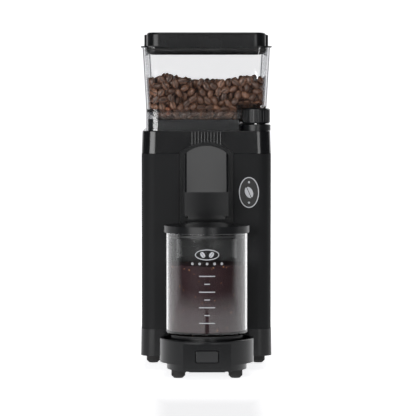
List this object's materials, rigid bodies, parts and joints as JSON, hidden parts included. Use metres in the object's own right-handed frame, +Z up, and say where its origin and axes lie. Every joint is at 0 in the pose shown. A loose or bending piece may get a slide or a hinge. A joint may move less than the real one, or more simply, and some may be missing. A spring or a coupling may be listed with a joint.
{
  "type": "burr coffee grinder",
  "caption": "Tall burr coffee grinder with a clear bean hopper, corner grind knob, arched chute, glass grounds jar on a round cradle and a front power button.",
  "frame": {"origin": "on the ground plane under the middle of the bounding box", "axes": "+Z up, the front with the jar and the button faces -Y, +X to the right seen from the front"},
  "size_m": [0.1354, 0.25, 0.3484],
  "materials": {
    "shell_metal": "fine matt black powder coat",
    "cap_plastic": "satin black moulding",
    "base_plastic": "satin black moulding",
    "trim_plastic": "fine-grained black moulding",
    "clear_plastic": "clear copolyester",
    "jar_glass": "clear borosilicate",
    "rubber": "soft black rubber",
    "seal_silicone": "translucent silicone",
    "beans": "roasted coffee beans",
    "grounds": "ground coffee",
    "steel": "ground steel",
    "burr_steel": "hardened steel",
    "alloy": "die-cast alloy",
    "brass": "turned brass",
    "gear_plastic": "natural acetal",
    "magnet": "sintered ferrite",
    "board": "glass-fibre board",
    "parts_mixed": "moulded components",
    "badge_film": "printed film"
  },
  "bodies": {
    "stand": {"base": "base_plastic", "base_plate": "base_plastic", "base_screws": "steel", "feet": "rubber", "jar_mat": "rubber", "power_switch": "parts_mixed", "housing": "shell_metal", "rear_cover": "shell_metal", "cover_rails": "steel", "rear_screws": "steel", "cord_gland": "rubber", "top_cap": "cap_plastic", "hopper_collar": "trim_plastic", "name_panel": "trim_plastic", "knob_base": "trim_plastic", "chute_frame": "trim_plastic", "chute_cover": "trim_plastic", "chute_duct": "trim_plastic", "badge": "badge_film", "grinding_chamber": "alloy", "chamber_screws": "steel", "shaft_bearings": "steel", "gear_tray": "alloy", "gearbox_plate": "alloy", "plate_screws": "steel", "support_posts": "steel", "motor_case": "steel", "motor_magnets": "magnet", "motor_end_cap": "trim_plastic", "motor_screws": "steel", "circuit_board": "board", "board_parts": "parts_mixed", "board_brackets": "steel", "interlock_switch": "parts_mixed"},
    "hopper": {"hopper": "clear_plastic", "coffee_beans": "beans"},
    "hopper_lid": {"hopper_lid": "trim_plastic", "lid_seal": "rubber"},
    "adjust_knob": {"adjust_knob": "trim_plastic", "knob_shaft": "steel", "knob_pinion": "brass"},
    "adjust_ring": {"adjust_ring": "brass"},
    "burr_holder": {"burr_holder": "alloy", "upper_burr": "burr_steel", "upper_burr_screws": "steel"},
    "burr_shaft": {"burr_shaft": "steel", "drive_gear": "gear_plastic", "burr_carrier": "alloy", "lower_burr": "burr_steel", "lower_burr_screws": "steel"},
    "rotor": {"rotor": "steel", "motor_shaft": "steel", "motor_pinion": "brass", "motor_fan": "trim_plastic"},
    "power_button": {"power_button": "trim_plastic"},
    "jar": {"jar": "jar_glass", "ground_coffee": "grounds"},
    "jar_lid": {"jar_lid": "trim_plastic", "jar_lid_seal": "seal_silicone"}
  },
  "joints": [
    {"name": "hopper_lift", "type": "slide", "parent": "stand", "child": "hopper", "axis": [0, 0, 1], "range_m": [0, 0.08]},
    {"name": "hopper_lid_lift", "type": "slide", "parent": "hopper", "child": "hopper_lid", "axis": [0, 0, 1], "range_m": [0, 0.05]},
    {"name": "adjust_ring_turn", "type": "hinge", "parent": "stand", "child": "adjust_ring", "pos_m": [0, 0.03, 0.2393], "axis": [0, 0, 1], "range_deg": [-28, 28]},
    {"name": "adjust_knob_turn", "type": "hinge", "parent": "stand", "child": "adjust_knob", "pos_m": [0.0515, -0.01363, 0.26], "axis": [0, 0, 1], "range_deg": [-152.5, 152.5]},
    {"name": "burr_holder_slide", "type": "slide", "parent": "stand", "child": "burr_holder", "axis": [0, 0, 1], "range_m": [-0.0005, 0.0005]},
    {"name": "rotor_spin", "type": "hinge", "parent": "stand", "child": "rotor", "pos_m": [0, 0.072, 0.12], "axis": [0, 0, 1], "continuous": true},
    {"name": "burr_spin", "type": "hinge", "parent": "stand", "child": "burr_shaft", "pos_m": [0, 0.03, 0.19], "axis": [0, 0, 1], "continuous": true},
    {"name": "power_button_press", "type": "slide", "parent": "stand", "child": "power_button", "axis": [0, 1, 0], "range_m": [0, 0.002], "stiffness_N_per_m": 600, "springref_m": -0.001},
    {"name": "jar_slide", "type": "slide", "parent": "stand", "child": "jar", "axis": [0, -1, 0], "range_m": [0, 0.12]},
    {"name": "jar_lid_lift", "type": "slide", "parent": "jar", "child": "jar_lid", "axis": [0, 0, 1], "range_m": [0, 0.0015]}
  ],
  "couplings": [
    {"joint": "adjust_knob_turn", "follows": "adjust_ring_turn", "ratio": -5.4286},
    {"joint": "burr_holder_slide", "follows": "adjust_ring_turn", "m_per_rad": 0.00095493},
    {"joint": "burr_spin", "follows": "rotor_spin", "ratio": -0.33333}
  ]
}
